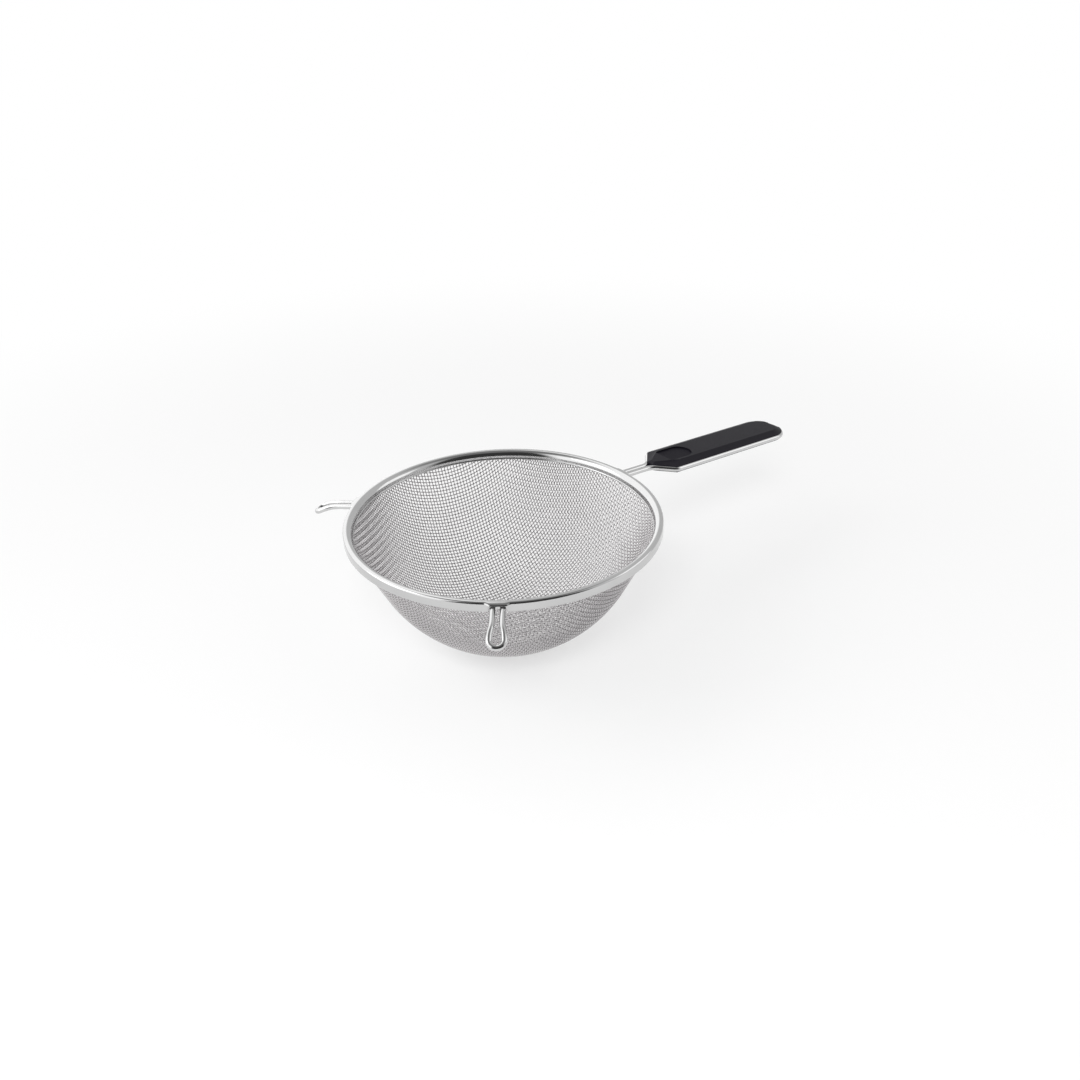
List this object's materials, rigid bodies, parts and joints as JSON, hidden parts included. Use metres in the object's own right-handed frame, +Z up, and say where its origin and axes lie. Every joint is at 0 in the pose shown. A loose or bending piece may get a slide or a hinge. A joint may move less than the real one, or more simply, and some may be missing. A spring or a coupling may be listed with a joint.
{
  "type": "bowl strainer",
  "caption": "Round woven-wire bowl strainer with a formed steel rim, a looped wire handle, a black plastic grip and two wire rest hooks.",
  "frame": {"origin": "centre of the bowl's mouth, on the bowl's axis and in the plane of the rim's top", "axes": "+X along the handle away from the bowl, +Z up out of the mouth, +Y to the right of a user who holds the handle and faces the bowl"},
  "size_m": [0.3561, 0.2062, 0.0882],
  "materials": {
    "wire_cloth": "bright woven stainless wire",
    "rim_steel": "polished stainless sheet",
    "steel_wire": "polished stainless wire",
    "grip_plastic": "finely textured black polypropylene"
  },
  "bodies": {
    "root": {"mesh_bowl": "wire_cloth", "rim_band": "rim_steel", "rim_hoop": "steel_wire", "handle_frame": "steel_wire", "rest_hook_left": "steel_wire", "rest_hook_right": "steel_wire", "grip_upper": "grip_plastic", "grip_lower": "grip_plastic"}
  },
  "joints": []
}
